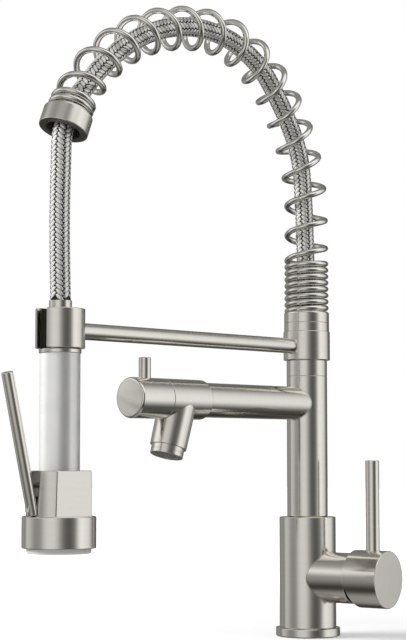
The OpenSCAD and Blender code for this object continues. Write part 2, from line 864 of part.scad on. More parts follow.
module pot_valve_body() {
    color(nickel) difference() {
        union() {
            along_spout() {
                translate([0, 0, spout_len]) turned(valve_d, valve_len, edge / 2, 2 * edge);
                hole(spout_bore - 2 * press_fit, spout_len - valve_plug, valve_plug + cut);
            }
            along_nozzle() cylinder(d1 = nozzle_root_d, d2 = nozzle_d, h = nozzle_len);
        }
        along_spout() {
            hole(valve_duct_d, spout_len - valve_plug - cut, headwork_v - spout_len + valve_plug + cut);
            hole(headwork_d, headwork_v, valve_len);
            hole(valve_d + 2 * turn_gap, valve_end, knob_len);
        }
        along_nozzle() hole(nozzle_bore, headwork_d / 2 - 2 * cut, nozzle_len);
    }
}

module headwork_body() {
    color(brass) along_spout() translate([0, 0, headwork_v]) difference() {
        cylinder(d = headwork_d - 2 * run_fit, h = valve_end - headwork_v);
        hole(headwork_bore, -cut, valve_end - headwork_v - headwork_front + cut);
        hole(spindle_d + 2 * run_fit, 0, valve_len);
        along_port() cylinder(d = headwork_bore / 2, h = headwork_d);
    }
}

// Side port of the headwork, down into the nozzle
module along_port() {
    translate([0, 0, valve_disc_h / 2 + headwork_bore / 2]) rotate([90, 0, 0]) children();
}

// Ceramic disc with one half cut open
module half_moon(h) {
    difference() {
        cylinder(d = valve_disc_d, h = h);
        difference() {
            translate([0, 0, -cut]) cylinder(d = valve_disc_d - 2 * valve_disc_h, h = h + 2 * cut);
            translate([-valve_disc_d / 2, -valve_disc_d, -2 * cut])
                cube([valve_disc_d, valve_disc_d + valve_disc_web, h + 4 * cut]);
        }
    }
}

module headwork_seat() {
    color(ceramic) along_spout() translate([0, 0, headwork_v]) half_moon(valve_disc_h);
}

module aerator_ring() {
    color(nickel) along_nozzle() translate([0, 0, nozzle_len]) difference() {
        union() {
            turned(aerator_d, aerator_h, edge, edge / 2);
            translate([0, 0, -aerator_neck])
                cylinder(d = nozzle_bore - 2 * run_fit, h = aerator_neck + cut);
        }
        hole(screen_d + 2 * run_fit, -washer_h, aerator_h + 2 * cut);
        hole(screen_d - 2 * aerator_wall, -aerator_neck - cut, aerator_neck + cut);
        translate([0, 0, aerator_h / 2]) difference() {
            cylinder(d = aerator_d + cut, h = aerator_groove);
            translate([0, 0, -cut])
                cylinder(d = aerator_d - 2 * aerator_groove, h = aerator_groove + 2 * cut);
        }
    }
}

module aerator_screen() {
    color(grey) along_nozzle() translate([0, 0, nozzle_len]) difference() {
        cylinder(d = screen_d, h = aerator_h - edge);
        for (x = [-2 : 2], y = [-2 : 2])
            if (abs(x + y) <= 2)
                translate([screen_step * (x + y / 2), screen_step * sin(60) * y, -cut])
                    cylinder(d = screen_hole_d, h = aerator_h + cut);
    }
}

module aerator_washer() {
    color(black) along_nozzle() translate([0, 0, nozzle_len - washer_h])
        pipe(screen_d, screen_d - 2 * aerator_wall, washer_h);
}

module knob_spindle() {
    disc_top = headwork_v + 2 * valve_disc_h + 2 * run_fit;
    color(brass) along_spout() translate([0, 0, disc_top]) {
        cylinder(d = valve_disc_d, h = spindle_head_h);
        cylinder(d = spindle_d, h = valve_end - disc_top + spindle_len);
    }
}

module knob_disc() {
    color(ceramic) along_spout() translate([0, 0, headwork_v + valve_disc_h + run_fit])
        rotate([0, 0, 180]) half_moon(valve_disc_h);
}

module knob_cap() {
    color(nickel) along_spout() difference() {
        translate([0, 0, knob_v]) turned(valve_d, knob_len, edge, edge / 2);
        hole(spindle_d + 2 * run_fit, knob_v - cut, valve_end + spindle_len - knob_v + loose_fit + cut);
        translate([0, 0, knob_lever_v]) rotate([-90, 0, 0])
            translate([0, 0, spindle_d / 2 + cut]) cylinder(d = knob_stub_d + 2 * stub_gap, h = valve_d);
        translate([0, 0, knob_lever_v]) rotate([90, 0, 0]) cylinder(d = screw_d + 2 * stub_gap, h = valve_d);
    }
}

module knob_lever() {
    color(nickel) along_spout() translate([0, 0, knob_lever_v]) rotate([-90, 0, 0]) {
        difference() {
            translate([0, 0, valve_d / 2 - knob_lever_d / 2])
                turned(knob_lever_d, knob_lever_len - valve_d / 2 + knob_lever_d / 2);
            rotate([90, 0, 0]) cylinder(d = valve_d, h = 2 * knob_lever_d, center = true);
        }
        translate([0, 0, spindle_d / 2 + cut + loose_fit])
            cylinder(d = knob_stub_d, h = valve_d / 2 - spindle_d / 2 - cut);
    }
}

module knob_screw() {
    color(steel) along_spout() translate([0, 0, knob_lever_v]) rotate([90, 0, 0])
        translate([0, 0, spindle_d / 2]) cylinder(d = screw_d, h = screw_len);
}

module arm_collar() {
    color(nickel) difference() {
        translate([0, 0, collar_z]) turned(collar_d, collar_h, edge / 2, edge);
        hole(collar_bush_d, collar_z - cut, collar_h + 2 * cut);
        translate([0, 0, arm_z]) rotate([90, 0, 0]) cylinder(d = arm_d + 2 * press_fit, h = collar_d);
    }
}

module collar_bush() {
    color(ceramic) translate([0, 0, collar_z]) pipe(collar_bush_d, neck_d + 2 * run_fit, collar_h);
}

module collar_ring() {
    color(nickel) translate([0, 0, collar_top]) difference() {
        turned(seat_d, ring_h, edge / 2, edge / 2);
        hole(seat_d - 2 * ring_wall, -cut, ring_h - ring_roof + cut);
        hole(tail_d + 2 * stub_gap, 0, ring_h + cut);
    }
}

module spring_seat() {
    color(nickel) translate([0, 0, ring_top]) difference() {
        turned(seat_d, seat_h, 3 * edge, edge / 2);
        hole(tail_flange_d + 2 * stub_gap, -cut, seat_h + 2 * cut);
    }
}

module arch_spring() {
    color(nickel) swept(wire_rings);
}

module hose_arch() {
    color(grey) swept([for (i = [0 : hose_split]) hose_rings[i]]);
}

module hose_tail() {
    color(steel) difference() {
        union() {
            hole(tail_d, seam_z - head_plug, ring_top - seam_z + head_plug + cut);
            hole(tail_flange_d, ring_top, tail_top - ring_top);
        }
        hole(tail_bore, seam_z - head_plug - cut, tail_top - seam_z + head_plug + 2 * cut);
    }
}

module arm_rod() {
    color(nickel) difference() {
        translate([0, -collar_bush_d / 2 - loose_fit, arm_z]) rotate([90, 0, 0])
            cylinder(d = arm_d, h = reach - collar_bush_d / 2 - loose_fit);
        at_head() hole(dock_d, dock_z - cut, dock_h + 2 * cut);
    }
}

// Slot in the front of the dock
module dock_gap() {
    translate([-dock_slot / 2, -dock_d, dock_z - cut]) cube([dock_slot, dock_d, dock_h + 2 * cut]);
}

module dock_ring() {
    color(nickel) at_head() difference() {
        translate([0, 0, dock_z]) turned(dock_d, dock_h);
        hole(dock_d - 2 * dock_wall, dock_z - cut, dock_h + 2 * cut);
        dock_gap();
    }
}

module dock_liner() {
    color(black) at_head() difference() {
        hole(dock_d - 2 * dock_wall, dock_z, dock_h);
        hole(liner_bore, dock_z - cut, dock_h + 2 * cut);
        dock_gap();
    }
}

module spring_cap() {
    color(nickel) translate([0, cap_top[0], cap_top[1]]) rotate([180 - cap_tilt, 0, 0]) difference() {
        turned(end_cap_d, end_cap_len);
        hole(end_cap_d - 2 * end_cap_wall, end_cap_roof, end_cap_len);
        hole(hose_d + 2 * hose_room, -cut, end_cap_len);
    }
}

module hose_drop() {
    color(grey) swept([for (i = [hose_split : hose_last]) hose_rings[i]]);
}

module hose_ferrule() {
    color(nickel) at_head() difference() {
        hole(ferrule_d, ferrule_foot, ferrule_top - ferrule_foot);
        hole(tail_bore, ferrule_foot - cut, ferrule_top - ferrule_foot + 2 * cut);
        translate([0, 0, ferrule_foot - cut]) pipe(ferrule_d + cut, ferrule_d - cut, swivel_h + cut);
    }
}

module swivel_nut() {
    color(brass) at_head() translate([0, 0, ferrule_foot])
        pipe(swivel_d, ferrule_d - cut + 2 * press_fit, swivel_h);
}

module head_collar() {
    color(nickel) at_head() difference() {
        union() {
            translate([0, 0, grip_top]) turned(head_collar_d, head_collar_h);
            hole(grip_bore - 2 * stub_gap, grip_top - plug_h, plug_h + cut);
        }
        hole(ferrule_d + 2 * stub_gap, grip_top - plug_h - cut, plug_h + head_collar_h + 2 * cut);
        hole(swivel_d + 2 * loose_fit, grip_top - plug_h - cut, plug_h + head_collar_h - plug_shoulder + cut);
    }
}

module grip_tube() {
    color(pearl) at_head() translate([0, 0, body_top]) pipe(grip_d, grip_bore, grip_len);
}

module inner_tube() {
    tube_top = ferrule_foot - loose_fit;
    tube_foot = body_top - water_sink;
    color(steel) at_head() difference() {
        union() {
            hole(water_d, tube_foot, tube_top - tube_foot);
            hole(grip_bore - 2 * stub_gap, water_flange_z, water_flange_h);
        }
        hole(water_d - 2 * water_wall, tube_foot - cut, tube_top - tube_foot + 2 * cut);
    }
}

module head_body() {
    color(nickel) difference() {
        at_head() union() {
            intersection() {
                translate([0, 0, body_foot]) cylinder(d1 = body_foot_d, d2 = body_top_d, h = body_h);
                translate([-body_flat_w / 2, -body_foot_d, body_foot])
                    cube([body_flat_w, 2 * body_foot_d, body_h]);
            }
            hole(body_spigot_d - 2 * stub_gap, body_foot - body_spigot_h, body_spigot_h + cut);
        }
        at_head() hole(water_d + 2 * stub_gap, body_foot - body_spigot_h - cut,
            body_h + body_spigot_h + 2 * cut);
        lever_groove();
        lever_slot();
        translate([0, -reach, plunger_z]) rotate([90, 0, 0]) {
            cylinder(d = plunger_d + 2 * stub_gap, h = body_foot_d);
            cylinder(d = plunger_room_d, h = plunger_room_out);
        }
        lever_pin_hole(pivot_pin_d + 2 * press_fit);
    }
}

// Shallow leaning groove in the head body behind the spray lever
module lever_groove(d = groove_d) {
    translate([0, -reach - body_foot_d / 2 - groove_d / 2, body_foot])
        rotate([-groove_lean, 0, 0]) translate([0, 0, -body_h])
            cylinder(d = d, h = 3 * body_h);
}

// Front of the head body, grown by the room that the spray lever keeps
module body_front() {
    difference() {
        at_head() hole(body_foot_d + 2 * lever_room, body_foot - cut, body_h);
        lever_groove(groove_d - 2 * lever_room);
    }
}

// Room for the foot of the spray lever and its tongue
module lever_slot() {
    translate([-tongue_w / 2 - stub_gap, -reach - body_foot_d, body_foot - stub_gap])
        cube([tongue_w + 2 * stub_gap, body_foot_d / 2 + slot_depth, slot_h]);
}

module lever_pin_hole(d) {
    translate([-pivot_pin_len / 2, pivot_y, pivot_z]) rotate([0, 90, 0]) cylinder(d = d, h = pivot_pin_len);
}

module bell_ring() {
    color(nickel) at_head() difference() {
        translate([0, 0, bell_foot]) turned(bell_d, bell_h, 1.5 * edge, edge);
        hole(bell_d - 2 * bell_wall, bell_foot - cut, bell_h - bell_roof + cut);
        hole(body_spigot_d, bell_foot, bell_h + cut);
    }
}

module spray_face() {
    color(pearl) at_head() difference() {
        translate([0, 0, face_foot]) turned(face_d, face_h, edge, 2 * edge);
        hole(mat_d + stub_gap, face_foot + 2 * mat_h, face_h);
        nubs(nub_d + 2 * nub_gap, face_foot - cut, 3 * mat_h + cut);
    }
}

// Every nozzle of the spray face, as round pins in three rows
module nubs(d, z, h) {
    for (row = nozzle_row_shares)
        for (i = [0 : row[0] - 1])
            rotate([0, 0, 360 * i / row[0]]) translate([row[1] * face_d, 0, z]) cylinder(d = d, h = h);
}

module spray_nozzles() {
    color(grey) at_head() {
        hole(mat_d, face_foot + 2 * mat_h, mat_h);
        nubs(nub_d, face_foot - nub_out, 2 * mat_h + nub_out + cut);
    }
}

module bell_seal() {
    color(black) at_head() translate([0, 0, body_foot - body_spigot_h - mat_h])
        pipe(face_d * seal_share, water_d + 2 * bell_wall, mat_h);
}

module lever_pin() {
    color(steel) lever_pin_hole(pivot_pin_d);
}

module spray_plunger() {
    color(steel) translate([0, -reach, plunger_z]) rotate([90, 0, 0]) {
        translate([0, 0, plunger_in]) cylinder(d = plunger_d, h = plunger_out - plunger_in);
        translate([0, 0, plunger_flange_out - plunger_flange_h])
            cylinder(d = plunger_flange_d, h = plunger_flange_h);
    }
}

module spray_lever() {
    color(nickel) difference() {
        union() {
            difference() {
                translate([0, lever_foot_y, lever_foot_z]) rotate([spray_lever_lean, 0, 0])
                    turned(spray_lever_d, spray_lever_len);
                for (a = [0, spray_press])
                    translate([0, pivot_y, pivot_z]) rotate([a, 0, 0])
                        translate([0, -pivot_y, -pivot_z]) body_front();
            }
            tongue();
        }
        lever_pin_hole(pivot_pin_d + 2 * run_fit);
    }
}

// Flat tongue that carries the spray lever on its pin
module tongue() {
    translate([0, pivot_y, pivot_z]) {
        rotate([0, 90, 0]) cylinder(d = 2 * pivot_pin_d, h = tongue_w, center = true);
        translate([-tongue_w / 2, -spray_lever_d, -pivot_pin_d])
            cube([tongue_w, spray_lever_d, 2 * pivot_pin_d]);
    }
}

deck_gasket();
base_flange();
valve_barrel();
cartridge_body();
cartridge_seals();
fixed_disc();
cartridge_nut();
column_bush();
cartridge_rotor();
stem_pin();
moving_disc();
cartridge_stem();
handle_cap();
handle_lever();
handle_screw();
column_tube();
column_spigot();
column_circlip();
column_seals();
column_head();
neck_clip();
spout_tube();
pot_valve_body();
headwork_body();
headwork_seat();
aerator_ring();
aerator_screen();
aerator_washer();
knob_spindle();
knob_disc();
knob_cap();
knob_lever();
knob_screw();
arm_collar();
collar_bush();
collar_ring();
spring_seat();
arch_spring();
hose_arch();
hose_tail();
arm_rod();
dock_ring();
dock_liner();
spring_cap();
hose_drop();
hose_ferrule();
swivel_nut();
head_collar();
grip_tube();
inner_tube();
head_body();
bell_ring();
spray_face();
spray_nozzles();
bell_seal();
lever_pin();
spray_plunger();
spray_lever();
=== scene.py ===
import json
from bisect import bisect_right
from math import cos, pi, radians, sin

import bmesh
import bpy
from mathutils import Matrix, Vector
from mathutils.geometry import interpolate_bezier

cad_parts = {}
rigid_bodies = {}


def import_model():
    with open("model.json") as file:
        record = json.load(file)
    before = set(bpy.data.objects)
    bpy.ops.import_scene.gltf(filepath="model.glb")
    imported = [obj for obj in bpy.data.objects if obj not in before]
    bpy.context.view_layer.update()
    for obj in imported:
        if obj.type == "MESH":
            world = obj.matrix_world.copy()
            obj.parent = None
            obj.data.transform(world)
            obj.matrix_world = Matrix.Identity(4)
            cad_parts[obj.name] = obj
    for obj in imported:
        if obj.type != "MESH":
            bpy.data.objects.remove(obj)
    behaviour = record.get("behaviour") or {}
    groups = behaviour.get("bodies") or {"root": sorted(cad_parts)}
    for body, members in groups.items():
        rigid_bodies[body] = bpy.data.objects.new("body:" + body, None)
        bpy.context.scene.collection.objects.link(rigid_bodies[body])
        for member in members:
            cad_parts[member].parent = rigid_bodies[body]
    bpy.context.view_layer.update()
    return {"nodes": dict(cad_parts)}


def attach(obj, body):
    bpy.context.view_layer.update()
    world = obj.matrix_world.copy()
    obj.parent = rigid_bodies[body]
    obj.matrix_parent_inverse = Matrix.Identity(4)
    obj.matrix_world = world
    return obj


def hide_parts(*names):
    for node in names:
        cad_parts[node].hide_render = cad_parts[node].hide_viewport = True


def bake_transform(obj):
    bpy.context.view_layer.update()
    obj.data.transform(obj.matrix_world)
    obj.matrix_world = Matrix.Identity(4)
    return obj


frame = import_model()
nodes = frame["nodes"]
scene = bpy.context.scene
print("frame loaded,", len(nodes), "solids")


cameraSettings = {
    "place": (0.93722, -1.05552, 0.13777),
    "turn": 45.0,
    "lift": 4.639,
    "lens": 98.44,
    "sensor": 36.0,
    "clip": (0.05, 60.0),
}


def makeCamera(s):
    data = bpy.data.cameras.new("camera")
    data.lens, data.sensor_width = s["lens"], s["sensor"]
    data.clip_start, data.clip_end = s["clip"]
    shot = bpy.data.objects.new("camera", data)
    shot.location = s["place"]
    shot.rotation_euler = (radians(90.0 + s["lift"]), 0.0, radians(s["turn"]))
    scene.collection.objects.link(shot)
    scene.camera = shot


makeCamera(cameraSettings)
print("camera placed")


# Node trees written as sums
class Link:
    # one socket of a node tree; sums on it add their Math nodes
    def __init__(self, tree, socket=None):
        self.tree, self.socket = tree, socket

    def add(self, kind, settings=None, inputs=None, output=0):
        made = self.tree.nodes.new(kind)
        for name, value in (settings or {}).items():
            if name == "stops":
                self.setStops(made.color_ramp, value)
            else:
                setattr(made, name, value)
        for key, value in (inputs or {}).items():
            self.feed(made.inputs[key], value)
        return Link(self.tree, made.outputs[output] if len(made.outputs) else None)

    def feed(self, socket, value):
        if isinstance(value, Link):
            self.tree.links.new(value.socket, socket)
        else:
            socket.default_value = value

    def setStops(self, ramp, stops):
        while len(ramp.elements) > 1:
            ramp.elements.remove(ramp.elements[-1])
        for i, (place, tone) in enumerate(stops):
            stop = ramp.elements[0] if i == 0 else ramp.elements.new(place)
            stop.position = place
            stop.color = (tone, tone, tone, 1.0)

    def sum(self, operation, *others):
        return self.add("ShaderNodeMath", {"operation": operation}, dict(enumerate([self, *others])))

    def __add__(self, other):
        return self.sum("ADD", other)

    def __sub__(self, other):
        return self.sum("SUBTRACT", other)

    def __mul__(self, other):
        return self.sum("MULTIPLY", other)

    def __truediv__(self, other):
        return self.sum("DIVIDE", other)

    def __rsub__(self, other):
        return (self * -1.0) + other

    __radd__ = __add__
    __rmul__ = __mul__

    def vector(self, operation, *others, output=0):
        inputs = dict(enumerate([self, *others]))
        return self.add("ShaderNodeVectorMath", {"operation": operation}, inputs, output)

    def part(self, axis):
        return self.add("ShaderNodeSeparateXYZ", inputs={0: self}, output=axis)

    def step(self, low, high):
        inputs = {"Value": self, "From Min": low, "From Max": high}
        return self.add("ShaderNodeMapRange", {"interpolation_type": "SMOOTHSTEP"}, inputs)

    def blur(self, centre, width):
        far = (self - centre) / width
        return (far * far * -1.0).sum("EXPONENT")

    def noise(self, scale, detail, roughness=0.5):
        inputs = {"Vector": self, "Scale": scale, "Detail": detail, "Roughness": roughness}
        return self.add("ShaderNodeTexNoise", inputs=inputs)

    def bumped(self, strength, depth):
        return self.add("ShaderNodeBump", inputs={"Strength": strength, "Distance": depth, "Height": self})

    def tint(self, low, high):
        ends = [tone if isinstance(tone, Link) else (*tone, 1.0) for tone in (low, high)]
        return self.add("ShaderNodeMix", {"data_type": "RGBA"}, {0: self, "A": ends[0], "B": ends[1]}, 2)


def freshTree(owner):
    owner.use_nodes = True
    owner.node_tree.nodes.clear()
    return Link(owner.node_tree)


def freshSkin(name):
    skin = bpy.data.materials.new(name)
    return skin, freshTree(skin)


def finishSkin(tree, sockets):
    shader = tree.add("ShaderNodeBsdfPrincipled", inputs=sockets)
    tree.add("ShaderNodeOutputMaterial", inputs={"Surface": shader})


def objectCoords(tree):
    return tree.add("ShaderNodeTexCoord", output=3)


def seenRays(tree):
    # 1 for what the eye, a reflection or glass sees, 0 for the light that falls on things
    path = tree.add("ShaderNodeLightPath").socket.node
    seen = Link(tree.tree, path.outputs["Is Camera Ray"])
    for name in ("Is Glossy Ray", "Is Transmission Ray"):
        seen = seen.sum("MAXIMUM", Link(tree.tree, path.outputs[name]))
    return seen


studio = {
    "worldLight": 0.24,
    "floorHalf": 6.0,
    "floorTone": 0.50,
    "floorRoughness": 0.6,
    "floorShine": 0.1,
    "floorLift": (0.42, 1.05),   # glow near the foot and far away, for the eye only
    "liftReach": (0.10, 0.75),
    "tentRadius": 2.4,
    "tentCentre": (0.0, -0.13, 0.18),
    "tentFaces": (48, 24),
    "net": (0.030, 0.027, 0.021),   # tone of the black net that shades parts of the white surround
    # light from above and from below: its level, and the heights in degrees between which it sets in
    "overhead": (0.24, 25.0, 60.0),
    "underfoot": (0.28, 42.0, 66.0),
    # what the surround loses upwards and downwards: its share, and the heights in degrees
    "lossUp": (0.3, 10.0, 40.0),
    "lossDown": (0.92, 4.0, 38.0),
    # compass angle and its spread, height and its spread, level
    "softboxes": [
        (-124.0, 32.0, 24.0, 15.0, 0.66),
        (-35.0, 45.0, 66.0, 13.0, 0.80),
        (13.0, 24.0, 46.0, 14.0, 4.2),
    ],
}

# Light that the net lets through level with the eye, by compass angle from +X
surround = [
    (-180, 0.30), (-165, 0.22), (-150, 0.58), (-135, 0.46), (-120, 0.26), (-108, 0.24),
    (-98, 0.30), (-85, 0.58), (-75, 0.70), (-58, 0.70), (-48, 0.56), (-38, 0.30), (-28, 0.14),
    (-18, 0.08), (-8, 0.08), (4, 0.16), (13, 0.44), (19, 0.74), (26, 0.91), (36, 0.93), (44, 0.86),
    (54, 0.80), (64, 0.70), (74, 0.42), (84, 0.16), (96, 0.08), (112, 0.10), (130, 0.20),
    (150, 0.22), (166, 0.24), (180, 0.30),
]


def emptyPiece(name, mesh):
    piece = bpy.data.objects.new(name, mesh)
    scene.collection.objects.link(piece)
    return piece


def makeWorld(s):
    world = bpy.data.worlds.new("studioLight")
    scene.world = world
    tree = freshTree(world)
    strength = seenRays(tree) * (1.0 - s["worldLight"]) + s["worldLight"]
    sky = tree.add("ShaderNodeBackground", inputs={"Color": (1.0, 1.0, 1.0, 1.0), "Strength": strength})
    tree.add("ShaderNodeOutputWorld", inputs={"Surface": sky})


def makeFloor(s):
    mesh = bpy.data.meshes.new("floor")
    shape = bmesh.new()
    bmesh.ops.create_grid(shape, x_segments=2, y_segments=2, size=s["floorHalf"])
    shape.to_mesh(mesh)
    shape.free()
    floor = emptyPiece("floor", mesh)
    floor.visible_glossy = False
    skin, tree = freshSkin("paleFloor")
    far = objectCoords(tree).vector("LENGTH", output=1)
    near, white = s["floorLift"]
    lift = far.step(*s["liftReach"]) * (white - near) + near
    tone = s["floorTone"]
    finishSkin(tree, {
        "Base Color": (tone, tone, tone, 1.0),
        "Roughness": s["floorRoughness"],
        "Specular IOR Level": s["floorShine"],
        "Emission Color": (1.0, 1.0, 1.0, 1.0),
        "Emission Strength": seenRays(tree) * lift,
    })
    mesh.materials.append(skin)


def onlyReflected(thing):
    for name in ("camera", "diffuse", "transmission", "volume_scatter", "shadow"):
        setattr(thing, "visible_" + name, False)


def tentLight(tree, s):
    # share of the white surround that the net lets through, by the direction from the faucet
    ahead = objectCoords(tree).vector("SUBTRACT", s["tentCentre"]).vector("NORMALIZE")
    angle = ahead.part(1).sum("ARCTAN2", ahead.part(0))
    height = ahead.part(2).sum("ARCSINE") * (180.0 / pi)
    stops = [((place + 180.0) / 360.0, tone) for place, tone in surround]
    level = tree.add("ShaderNodeValToRGB", {"stops": stops}, {0: angle / (2.0 * pi) + 0.5})
    side = tree.add("ShaderNodeRGBToBW", inputs={0: level})
    boxes = 0.0
    for where, broad, lift, tall, bright in s["softboxes"]:
        boxes = (angle * (180.0 / pi)).blur(where, broad) * height.blur(lift, tall) * bright + boxes
    top, *topReach = s["overhead"]
    bottom, *bottomReach = s["underfoot"]
    lossUp, *upReach = s["lossUp"]
    lossDown, *downReach = s["lossDown"]
    over = height.step(*topReach)
    dim = 1.0 - height.step(*upReach) * lossUp
    under = (height * -1.0).step(*downReach)
    deep = (height * -1.0).step(*bottomReach)
    wall = side * dim * (1.0 - over) * (1.0 - under * lossDown)
    return wall + over * top + deep * bottom + boxes


def makeTent(s):
    # a white surround under a black net: the net thins out where more light comes through
    skin, tree = freshSkin("tentNet")
    finishSkin(tree, {
        "Base Color": (0.0, 0.0, 0.0, 1.0),
        "Roughness": 1.0,
        "Specular IOR Level": 0.0,
        "Emission Color": tentLight(tree, s).tint(s["net"], (1.0, 1.0, 1.0)),
        "Emission Strength": 1.0,
    })
    mesh = bpy.data.meshes.new("studioTent")
    shape = bmesh.new()
    around, high = s["tentFaces"]
    bmesh.ops.create_uvsphere(shape, u_segments=around, v_segments=high, radius=s["tentRadius"])
    bmesh.ops.translate(shape, verts=shape.verts, vec=s["tentCentre"])
    bmesh.ops.reverse_faces(shape, faces=shape.faces)
    shape.to_mesh(mesh)
    shape.free()
    mesh.materials.append(skin)
    onlyReflected(emptyPiece("studioTent", mesh))


lampSettings = {
    "keyLight": {"place": (-1.12, -1.42, 1.30), "aim": (0.0, -0.13, 0.2), "size": 1.2, "power": 74.0},
    "fillLight": {"place": (1.6, 0.2, 1.2), "aim": (0.0, -0.13, 0.2), "size": 1.0, "power": 4.0},
    "topLight": {"place": (-0.2, 0.2, 2.2), "aim": (0.0, -0.13, 0.0), "size": 1.4, "power": 6.0},
}


def makeLamp(name, s):
    data = bpy.data.lights.new(name, "AREA")
    data.shape, data.size, data.energy = "SQUARE", s["size"], s["power"]
    lamp = bpy.data.objects.new(name, data)
    lamp.location = s["place"]
    lamp.rotation_euler = (Vector(s["aim"]) - Vector(s["place"])).to_track_quat("-Z", "Y").to_euler()
    lamp.visible_glossy = False
    scene.collection.objects.link(lamp)


makeWorld(studio)
makeFloor(studio)
makeTent(studio)
for name, settings in lampSettings.items():
    makeLamp(name, settings)
scene.view_settings.view_transform = "Standard"
print("studio lit")


handleTurn = 9.6   # the handle's way out of the barrel, in degrees from +X
upright = (0.0, 0.0, 1.0)

brushedFinish = {
    "axis": upright,
    "light": (0.865, 0.836, 0.776),
    "deep": (0.835, 0.806, 0.746),
    "roughness": 0.145,
    "roughSpread": 0.03,
    "fine": 3200.0,
    "run": 120.0,
    "coarser": 5.0,
    "fineShare": 0.6,
    "contrast": (0.32, 0.68),
    "bump": 0.05,
    "bumpDepth": 0.00002,
}

plainFinish = {
    "metallic": 0.0,
    "roughSpread": 0.05,
    "grain": 900.0,
    "coarser": 12.0,
    "contrast": (0.35, 0.65),
    "bump": 0.05,
    "bumpDepth": 0.0001,
}

strandFinish = {
    "light": (0.96, 0.945, 0.915),
    "deep": (0.89, 0.875, 0.84),
    # tone of the painted shade at a strand's tips
    "gap": (0.05, 0.048, 0.044),
    "wires": 5,
    "tip": (0.92, 1.06),   # where painted shade sets in at a strand's end
    "tipSlant": 0.52,
    "edge": (0.60, 1.0),   # where painted shade sets in, a little, along its long sides
    "paintedEdgeShade": 0.34,
    "metallic": 0.62,
    "roughness": 0.23,
    "roughSpread": 0.10,
    "grain": 1500.0,
    "bump": 0.25,
    "bumpDepth": 0.0001,
}

# What differs from the brushed finish
metals = {
    "nickelUpright": {},
    "nickelAlong": {"axis": (0.0, 1.0, 0.0)},
    "nickelSide": {"axis": (cos(radians(handleTurn)), sin(radians(handleTurn)), 0.0)},
    "nickelHead": {"light": (0.825, 0.797, 0.742), "deep": (0.795, 0.768, 0.714), "roughness": 0.24},
    "springSteel": {"light": (0.88, 0.86, 0.815), "deep": (0.83, 0.81, 0.765), "roughness": 0.11,
                    "roughSpread": 0.02, "fine": 900.0, "run": 900.0, "bump": 0.0},
    "plainBrass": {"light": (0.80, 0.62, 0.32), "deep": (0.70, 0.52, 0.25)},
    "plainSteel": {"light": (0.62, 0.61, 0.60), "deep": (0.55, 0.54, 0.53)},
}

# What differs from the plain finish
plains = {
    "coreSteel": {"light": (0.075, 0.073, 0.068), "deep": (0.05, 0.049, 0.046), "roughness": 0.50,
                  "metallic": 1.0, "grain": 1500.0},
    # painted shade: a dark dull metal for the head's groove, the lever's cheeks in it, and the cap's bore and
    # lower rim
    "paintedShadeMetal": {"light": (0.34, 0.325, 0.30), "deep": (0.26, 0.25, 0.23), "roughness": 0.50,
                    "metallic": 1.0},
    "pearlGrip": {"light": (0.90, 0.90, 0.885), "deep": (0.87, 0.87, 0.855), "roughness": 0.20,
                  "metallic": 0.42, "grain": 700.0, "roughSpread": 0.03},
    "whiteFace": {"light": (0.82, 0.82, 0.80), "deep": (0.78, 0.78, 0.76), "roughness": 0.38, "grain": 700.0},
    "blackRubber": {"light": (0.020, 0.020, 0.019), "deep": (0.012, 0.012, 0.011), "roughness": 0.55,
                    "grain": 1200.0},
    "blackPlastic": {"light": (0.016, 0.016, 0.015), "deep": (0.010, 0.010, 0.009), "roughness": 0.40,
                     "grain": 1200.0},
    "greyPlastic": {"light": (0.24, 0.24, 0.235), "deep": (0.19, 0.19, 0.185), "roughness": 0.45},
    "whiteRubber": {"light": (0.84, 0.84, 0.83), "deep": (0.80, 0.80, 0.79), "roughness": 0.50},
    "ceramicWhite": {"light": (0.86, 0.85, 0.82), "deep": (0.80, 0.79, 0.76), "roughness": 0.12},
    "bearingPlastic": {"light": (0.70, 0.69, 0.62), "deep": (0.64, 0.63, 0.56), "roughness": 0.40},
}


def grainCoords(tree, axis, fine, run):
    # Object coordinates squeezed along a tube's axis, for brushing marks that run round it
    turn = Vector(upright).rotation_difference(Vector(axis)).inverted().to_euler()
    turned = tree.add("ShaderNodeMapping", inputs={"Vector": objectCoords(tree), "Rotation": tuple(turn)})
    return tree.add("ShaderNodeMapping", inputs={"Vector": turned, "Scale": (run, run, fine)})


def brushedMetal(name, s):
    skin, tree = freshSkin(name)
    fine = grainCoords(tree, s["axis"], s["fine"], s["run"]).noise(1.0, 3.0, 0.6)
    cloud = grainCoords(tree, s["axis"], s["fine"] / s["coarser"], s["run"] / s["coarser"]).noise(1.0, 2.0)
    marks = fine * s["fineShare"] + cloud * (1.0 - s["fineShare"])
    finishSkin(tree, {
        "Base Color": marks.step(*s["contrast"]).tint(s["deep"], s["light"]),
        "Metallic": 1.0,
        "Roughness": marks * (2.0 * s["roughSpread"]) + (s["roughness"] - s["roughSpread"]),
        "Normal": marks.bumped(s["bump"], s["bumpDepth"]),
    })
    return skin


def plainSkin(name, s):
    skin, tree = freshSkin(name)
    speck = objectCoords(tree).noise(s["grain"], 3.0)
    cloud = objectCoords(tree).noise(s["grain"] / s["coarser"], 2.0)
    finishSkin(tree, {
        "Base Color": cloud.step(*s["contrast"]).tint(s["deep"], s["light"]),
        "Metallic": s["metallic"],
        "Roughness": speck * (2.0 * s["roughSpread"]) + (s["roughness"] - s["roughSpread"]),
        "Normal": speck.bumped(s["bump"], s["bumpDepth"]),
    })
    return skin


